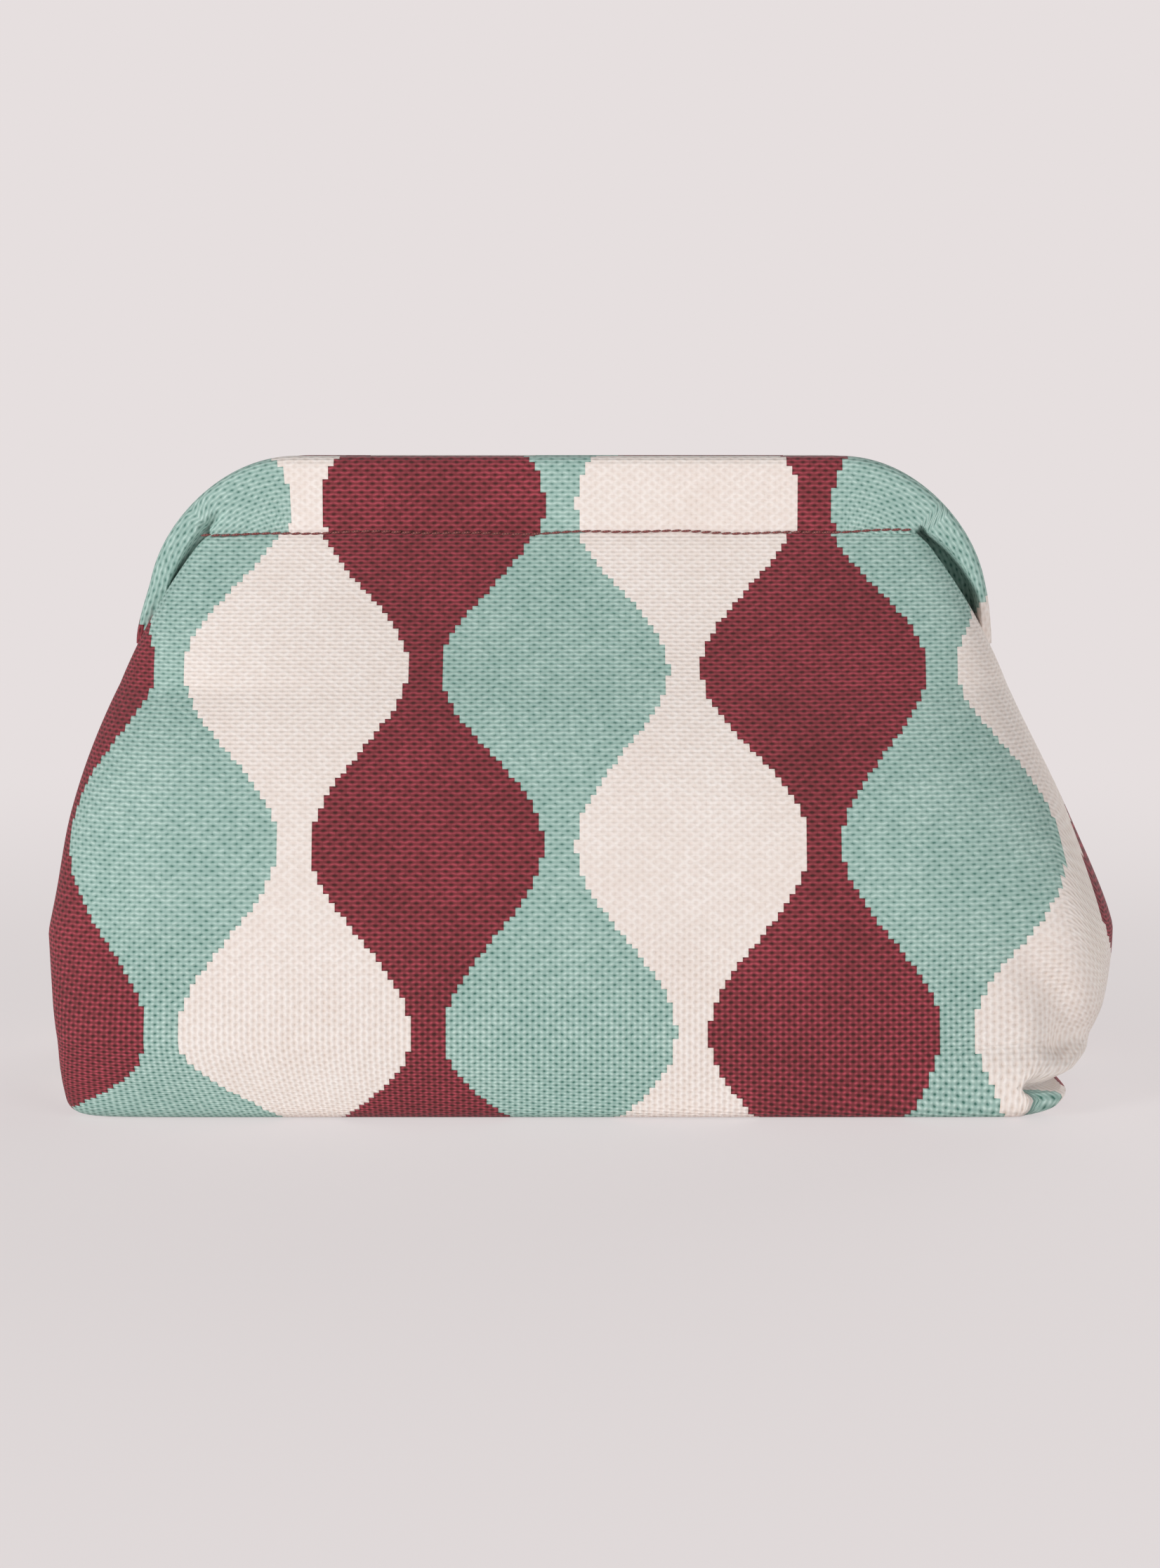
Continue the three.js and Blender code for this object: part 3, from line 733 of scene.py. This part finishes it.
class Surface:
    """A material whose shader nodes are added and wired by short calls."""

    def __init__(self, name, **constants):
        self.material = bpy.data.materials.new(name)
        self.material.use_nodes = True
        self.tree = self.material.node_tree
        self.tree.nodes.clear()
        self.shader = self.add("ShaderNodeBsdfPrincipled")
        self.output = self.add("ShaderNodeOutputMaterial")
        self.tree.links.new(self.shader.outputs[0], self.output.inputs["Surface"])
        for socket, value in constants.items():
            self.shader.inputs[socket.replace("_", " ")].default_value = value

    def add(self, kind):
        return self.tree.nodes.new(kind)

    def feed(self, socket, value):
        """Links a node's output to a socket, or sets a plain value on it."""
        if isinstance(value, bpy.types.NodeSocket):
            self.tree.links.new(value, socket)
        else:
            socket.default_value = value

    def colour(self, value):
        self.feed(self.shader.inputs["Base Color"], value)

    def roughness(self, value):
        self.feed(self.shader.inputs["Roughness"], value)

    def math(self, operation, *values):
        node = self.add("ShaderNodeMath")
        node.operation = operation
        for socket, value in zip(node.inputs, values):
            self.feed(socket, value)
        return node.outputs[0]

    def wave(self, operation, place, length):
        """A sine or cosine along a place, one whole wave to a length."""
        return self.math(operation, self.math("MULTIPLY", place, 2 * math.pi / length))

    def ramp(self, value, low, high):
        """0 below low, 1 above high, an easy curve between."""
        node = self.add("ShaderNodeMapRange")
        node.interpolation_type = "SMOOTHSTEP"
        self.feed(node.inputs["Value"], value)
        node.inputs["From Min"].default_value = low
        node.inputs["From Max"].default_value = high
        return node.outputs["Result"]

    def mix(self, share, first, second):
        node = self.add("ShaderNodeMix")
        node.data_type = "RGBA"
        for socket, value in ((0, share), (6, first), (7, second)):
            self.feed(node.inputs[socket], value)
        return node.outputs[2]

    def cloth(self):
        """The two places along the cloth, in millimetres."""
        place = self.add("ShaderNodeUVMap")
        place.uv_map = "cloth"
        parts = self.add("ShaderNodeSeparateXYZ")
        self.feed(parts.inputs[0], place.outputs[0])
        return self.math("DIVIDE", parts.outputs[0], MM), self.math("DIVIDE", parts.outputs[1], MM)

    def flat_place(self, across, up):
        node = self.add("ShaderNodeCombineXYZ")
        self.feed(node.inputs[0], across)
        self.feed(node.inputs[1], up)
        return node.outputs[0]

    def object_place(self):
        return self.add("ShaderNodeTexCoord").outputs["Object"]

    def noise(self, place, scale, detail):
        node = self.add("ShaderNodeTexNoise")
        self.feed(node.inputs["Vector"], place)
        node.inputs["Scale"].default_value = scale
        node.inputs["Detail"].default_value = detail
        return node.outputs["Fac"]

    def relief(self, height, distance, strength=1.0):
        """Bump from a height; the distance is in millimetres."""
        node = self.add("ShaderNodeBump")
        node.inputs["Strength"].default_value = strength
        node.inputs["Distance"].default_value = distance * MM
        self.feed(node.inputs["Height"], height)
        self.feed(self.shader.inputs["Normal"], node.outputs[0])


# Colours of the yarns: painted shade for the gaps between stitches, the yarns' own colour on their flanks,
# and painted highlights on their crowns
TEAL = (srgb(66, 112, 101), srgb(152, 182, 173), srgb(202, 224, 216))
WINE = (srgb(70, 34, 33), srgb(122, 53, 58), srgb(186, 78, 92))
CREAM = (srgb(206, 184, 168), srgb(234, 221, 213), srgb(246, 238, 233))

# Stripes follow each other in these kinds, and teal is kind 0
YARN_KINDS = 3.0
CREAM_KIND = 1.0
WINE_KIND = 2.0
KIND_MARGIN = 0.25

# How strongly the lattice of gaps, the rows and the columns show as painted shade in each yarn's colour,
# after its even level; the teal's weights also set the knit's bump
TEAL_RELIEF_AND_SHADE = (0.54, 0.17, 0.17, 0.05)
WINE_PAINTED_SHADE = (0.48, 0.25, 0.23, 0.06)
CREAM_PAINTED_SHADE = (0.64, 0.16, 0.03, 0.06)
LOW_RIB_SHADE = 2.0  # the painted shade between the columns, and the teal's bump, are this much stronger near the base
LOW_RIBS_PART = (15, 60)  # and fall back to their usual strength between these places up the cloth
STITCH_CHANCE = 0.16  # range of shade from stitch to stitch
PATCH_CHANCE = 0.3  # and from patch to patch
FUZZ = 0.3  # share of loose fibres in the relief


def stripe_kind(paint, wale, course):
    """Which yarn each stitch has, by its column and row of the knit."""
    stitch_across = paint.math("MULTIPLY", paint.math("ADD", wale, 0.5), WALE)
    stitch_up = paint.math("MULTIPLY", paint.math("ADD", course, 0.5), COURSE)

    # The border between two stripes swings left and right up the cloth, its neighbours the other way
    turn = paint.math("MULTIPLY", paint.math("SUBTRACT", stitch_up, STRIPE_LEVEL), math.pi / STRIPE_RISE)
    swing = paint.math("MULTIPLY", paint.math("COSINE", turn), STRIPE_SWING / STRIPE)
    place = paint.math("DIVIDE", paint.math("SUBTRACT", stitch_across, STRIPE_START), STRIPE)
    column = paint.math("FLOOR", place)
    share = paint.math("SUBTRACT", place, column)
    odd = paint.math("PINGPONG", column, 1.0)
    way = paint.math("SUBTRACT", paint.math("MULTIPLY", odd, 2.0), 1.0)
    reach = paint.math("MULTIPLY", swing, way)
    before = paint.math("LESS_THAN", share, reach)
    after = paint.math("GREATER_THAN", share, paint.math("SUBTRACT", 1.0, reach))
    stripe = paint.math("ADD", paint.math("SUBTRACT", column, before), after)
    rounds = paint.math("FLOOR", paint.math("DIVIDE", stripe, YARN_KINDS))
    return paint.math("SUBTRACT", stripe, paint.math("MULTIPLY", rounds, YARN_KINDS))


def knit():
    """Knit in three colours of undulating upright stripes; the colour changes from stitch to stitch, with
    painted shade in the gaps and grooves and painted highlights on the crowns.
    """
    paint = Surface("knit", Roughness=0.9, Sheen_Weight=0.12, Sheen_Roughness=0.5, Specular_IOR_Level=0.2)
    across, up = paint.cloth()

    # Each stitch has one colour, so the stripes' borders run in steps
    wale = paint.math("FLOOR", paint.math("DIVIDE", across, WALE))
    course = paint.math("FLOOR", paint.math("DIVIDE", up, COURSE))
    kind = stripe_kind(paint, wale, course)
    is_cream = paint.math("COMPARE", kind, CREAM_KIND, KIND_MARGIN)
    is_wine = paint.math("COMPARE", kind, WINE_KIND, KIND_MARGIN)

    # Gaps between the stitches lie in a diamond lattice; rows and columns stand out between them, all as
    # painted shade in the colour
    gaps_across = paint.wave("COSINE", across, 2 * WALE)
    gaps_up = paint.wave("COSINE", up, 2 * COURSE)
    lattice = paint.math("MULTIPLY", gaps_across, gaps_up)
    row = paint.wave("COSINE", up, COURSE)
    # Painted shade between the columns grows stronger near the base
    low = paint.math("SUBTRACT", 1.0, paint.ramp(up, *LOW_RIBS_PART))
    rib_shade_gain = paint.math("MULTIPLY_ADD", low, LOW_RIB_SHADE, 1.0)
    rib = paint.math("MULTIPLY", paint.wave("COSINE", across, WALE), rib_shade_gain)

    # No two stitches have quite the same shade
    cell = paint.add("ShaderNodeTexWhiteNoise")
    cell.noise_dimensions = "2D"
    paint.feed(cell.inputs["Vector"], paint.flat_place(wale, course))
    chance = paint.math("MULTIPLY_ADD", cell.outputs["Value"], STITCH_CHANCE, -STITCH_CHANCE / 2)
    patches = paint.noise(paint.flat_place(across, up), scale=0.04, detail=3.0)
    wide = paint.math("MULTIPLY_ADD", patches, PATCH_CHANCE, -PATCH_CHANCE / 2)
    uneven = paint.math("ADD", chance, wide)

    # Level of each spot from painted shade (0) to painted highlight (1), over the stitch's own random tone
    def shade(relief):
        even, gaps, rows, columns = relief
        total = paint.math("ADD", uneven, even)
        for value, weight in ((lattice, gaps), (row, rows), (rib, columns)):
            total = paint.math("MULTIPLY_ADD", value, -weight, total)
        return total

    # Each yarn runs from painted shade in the gaps, through its own colour on the flanks, to a painted
    # highlight on the crowns
    def yarn(colours, level):
        gap_shade, flank, crown_highlight = colours
        lower = paint.mix(paint.ramp(level, 0.0, 0.5), gap_shade, flank)
        return paint.mix(paint.ramp(level, 0.5, 1.0), lower, crown_highlight)

    teal_shade = shade(TEAL_RELIEF_AND_SHADE)
    dark_yarns = paint.mix(is_wine, yarn(TEAL, teal_shade), yarn(WINE, shade(WINE_PAINTED_SHADE)))
    paint.colour(paint.mix(is_cream, dark_yarns, yarn(CREAM, shade(CREAM_PAINTED_SHADE))))

    fibres = paint.noise(paint.flat_place(across, up), scale=2.2, detail=4.0)
    paint.relief(paint.math("MULTIPLY_ADD", fibres, FUZZ, teal_shade), distance=0.45, strength=0.7)
    return paint.material


def thread():
    """Twisted sewing thread."""
    paint = Surface("thread", Roughness=0.6, Sheen_Weight=0.1)
    along, around = paint.cloth()
    twist = paint.math("ADD", paint.math("MULTIPLY", along, 9.0), paint.math("MULTIPLY", around, 2.7))
    # The twist's grooves are painted darker as shade between the plies, and bumped as well
    groove = paint.ramp(paint.math("SINE", twist), -0.9, 0.1)
    paint.colour(paint.mix(groove, srgb(78, 34, 32), srgb(142, 72, 68)))
    paint.relief(groove, distance=0.08)
    return paint.material


def cotton():
    """Plain woven cotton."""
    paint = Surface("cotton", Roughness=0.85, Sheen_Weight=0.08)
    across, up = paint.cloth()
    pitch = 0.45
    warp = paint.wave("SINE", across, 2 * pitch)
    weft = paint.wave("SINE", up, 2 * pitch)
    weave = paint.math("MULTIPLY", warp, weft)
    stretched = paint.flat_place(paint.math("MULTIPLY", across, 0.08), paint.math("MULTIPLY", up, 1.3))
    slub = paint.noise(stretched, scale=1.0, detail=3.0)
    # The weave's lattice is painted shade between the threads; the slubs are the yarn's own uneven tone
    woven = paint.math("MULTIPLY", paint.ramp(weave, -1, 1), 0.5)
    shade = paint.math("ADD", woven, paint.math("MULTIPLY", slub, 0.5))
    paint.colour(paint.mix(shade, srgb(192, 176, 158), srgb(226, 214, 198)))
    paint.relief(paint.math("ADD", weave, slub), distance=0.12, strength=0.6)
    return paint.material


def brushed(name, low, high, roughness):
    """Metal with fine drawn streaks along X."""
    paint = Surface(name, Metallic=1.0)
    drawn = paint.add("ShaderNodeMapping")
    drawn.inputs["Scale"].default_value = (40, 1400, 1400)
    paint.feed(drawn.inputs["Vector"], paint.object_place())
    streak = paint.noise(drawn.outputs[0], scale=1.0, detail=4.0)
    paint.colour(paint.mix(streak, low, high))
    paint.roughness(paint.math("MULTIPLY_ADD", streak, 0.2, roughness))
    paint.relief(streak, distance=0.03, strength=0.4)
    return paint.material


def moulded():
    """Matt natural nylon."""
    paint = Surface("nylon", Subsurface_Weight=0.05)
    grain = paint.noise(paint.object_place(), scale=900, detail=3.0)
    paint.colour(paint.mix(grain, srgb(226, 222, 212), srgb(243, 241, 234)))
    paint.roughness(paint.math("MULTIPLY_ADD", grain, 0.2, 0.45))
    paint.relief(grain, distance=0.04, strength=0.5)
    return paint.material


def greyboard():
    """Pressed fibre board."""
    paint = Surface("greyboard", Roughness=0.9)
    flake = paint.noise(paint.object_place(), scale=420, detail=5.0)
    cloud = paint.noise(paint.object_place(), scale=30, detail=2.0)
    shade = paint.math("MULTIPLY_ADD", flake, 0.7, paint.math("MULTIPLY", cloud, 0.3))
    paint.colour(paint.mix(shade, srgb(112, 104, 94), srgb(170, 160, 148)))
    paint.relief(flake, distance=0.1, strength=0.6)
    return paint.material


def dress(thing, material):
    """Gives an object one material."""
    thing.data.materials.clear()
    thing.data.materials.append(material)


# Assembly

knit_cloth = knit()
thread_stock = thread()
cotton_cloth = cotton()
for side in ("front", "back"):
    dress(panel(side), knit_cloth)
    dress(sleeve(side), knit_cloth)
    dress(stitch_row(side), thread_stock)
    dress(lining(side), cotton_cloth)
    for hand in ("left", "right"):
        dress(web(hand, side), cotton_cloth)

steel = brushed("steel", srgb(150, 152, 155), srgb(205, 207, 210), 0.22)
plated = brushed("plated", srgb(128, 131, 136), srgb(176, 179, 184), 0.16)
nylon = moulded()
board = greyboard()
FINISHES = {
    "front_bar": steel,
    "back_bar": steel,
    "left_rivet": steel,
    "right_rivet": steel,
    "left_washer": nylon,
    "right_washer": nylon,
    "front_magnet": plated,
    "back_magnet": plated,
    "base_board": board,
}
for name, material in FINISHES.items():
    dress(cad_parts[name], material)

# Stage, light and camera

BACKDROP = srgb(230, 223, 223)
FLOOR_REACH = 6000
FLOOR_DROP = 0.5
NEAR_EVEN = 0.75  # share of the plain backdrop in the floor beside the bag; it grows to 1 with the distance
EVEN_PART = (0.1, 0.7)  # metres from the bag over which it grows
ROOM_LIGHT = 0.5

# Lamps: place and aim in metres, the disk's size in metres, and the power in watts
LAMPS = {
    "key": ((-1.8, -1.3, 0.55), (0, 0, 0.07), 0.8, 40),
    "fill": ((1.45, -1.5, 0.55), (0, 0, 0.08), 1.4, 24.5),
    "back": ((0.9, 1.8, 0.9), (0, 0, 0.08), 1.6, 20),
}

CAMERA_PLACE = (0.003, -0.78, 0.178)  # metres
CAMERA_DIP = 7.4  # degrees below level
CAMERA_LENS = 67.8
CAMERA_SENSOR = 36


def seen_share(tree):
    """1 for rays that show the scene to the camera, straight, mirrored or through glass, and 0 for light."""
    path = tree.nodes.new("ShaderNodeLightPath")
    share = path.outputs["Is Camera Ray"]
    for name in ("Is Glossy Ray", "Is Transmission Ray"):
        larger = tree.nodes.new("ShaderNodeMath")
        larger.operation = "MAXIMUM"
        tree.links.new(share, larger.inputs[0])
        tree.links.new(path.outputs[name], larger.inputs[1])
        share = larger.outputs[0]
    return share


def paper():
    """Pale paper, which looks more like the plain backdrop the further it is from the bag."""
    paint = Surface("paper", Roughness=0.95)
    mottle = paint.noise(paint.object_place(), scale=6.0, detail=4.0)
    paint.colour(paint.mix(mottle, srgb(244, 237, 237), srgb(249, 243, 243)))
    far = paint.add("ShaderNodeVectorMath")
    far.operation = "LENGTH"
    paint.feed(far.inputs[0], paint.object_place())
    grown = paint.ramp(far.outputs["Value"], *EVEN_PART)
    even = paint.math("MULTIPLY_ADD", grown, 1 - NEAR_EVEN, NEAR_EVEN)
    plain = paint.add("ShaderNodeEmission")
    plain.inputs["Color"].default_value = BACKDROP
    both = paint.add("ShaderNodeMixShader")
    paint.feed(both.inputs[0], paint.math("MULTIPLY", even, seen_share(paint.tree)))
    paint.feed(both.inputs[1], paint.shader.outputs[0])
    paint.feed(both.inputs[2], plain.outputs[0])
    paint.feed(paint.output.inputs["Surface"], both.outputs[0])
    return paint.material


def light_room():
    """Even light from all round; the camera sees the plain backdrop in its place."""
    world = bpy.data.worlds.new("room")
    bpy.context.scene.world = world
    world.use_nodes = True
    tree = world.node_tree
    glow = tree.nodes["Background"]
    glow.inputs["Strength"].default_value = ROOM_LIGHT
    plain = tree.nodes.new("ShaderNodeBackground")
    plain.inputs["Color"].default_value = BACKDROP
    both = tree.nodes.new("ShaderNodeMixShader")
    tree.links.new(seen_share(tree), both.inputs[0])
    tree.links.new(glow.outputs[0], both.inputs[1])
    tree.links.new(plain.outputs[0], both.inputs[2])
    tree.links.new(both.outputs[0], tree.nodes["World Output"].inputs["Surface"])


def lamp(name, place, aim, size, power):
    """A soft round lamp that points at its aim."""
    data = bpy.data.lights.new(name, "AREA")
    data.shape = "DISK"
    data.size = size
    data.energy = power
    thing = bpy.data.objects.new(name, data)
    thing.location = place
    thing.rotation_euler = (Vector(aim) - Vector(place)).to_track_quat("-Z", "Y").to_euler()
    bpy.context.scene.collection.objects.link(thing)


def take_view():
    """The camera, at the photograph's viewing angle."""
    data = bpy.data.cameras.new("camera")
    data.lens = CAMERA_LENS
    data.sensor_width = CAMERA_SENSOR
    camera = bpy.data.objects.new("camera", data)
    camera.location = CAMERA_PLACE
    camera.rotation_euler = (math.radians(90 - CAMERA_DIP), 0, 0)
    bpy.context.scene.collection.objects.link(camera)
    bpy.context.scene.camera = camera


corners = [(-1, -1, 0), (1, -1, 0), (1, 1, 0), (-1, 1, 0)]
floor = mesh_object("floor", FLOOR_REACH * np.array(corners), [(0, 1, 2, 3)])
floor.location.z = -FLOOR_DROP * MM
dress(floor, paper())

light_room()
for name, (place, aim, size, power) in LAMPS.items():
    lamp(name, place, aim, size, power)
take_view()
bpy.context.scene.view_settings.view_transform = "Standard"
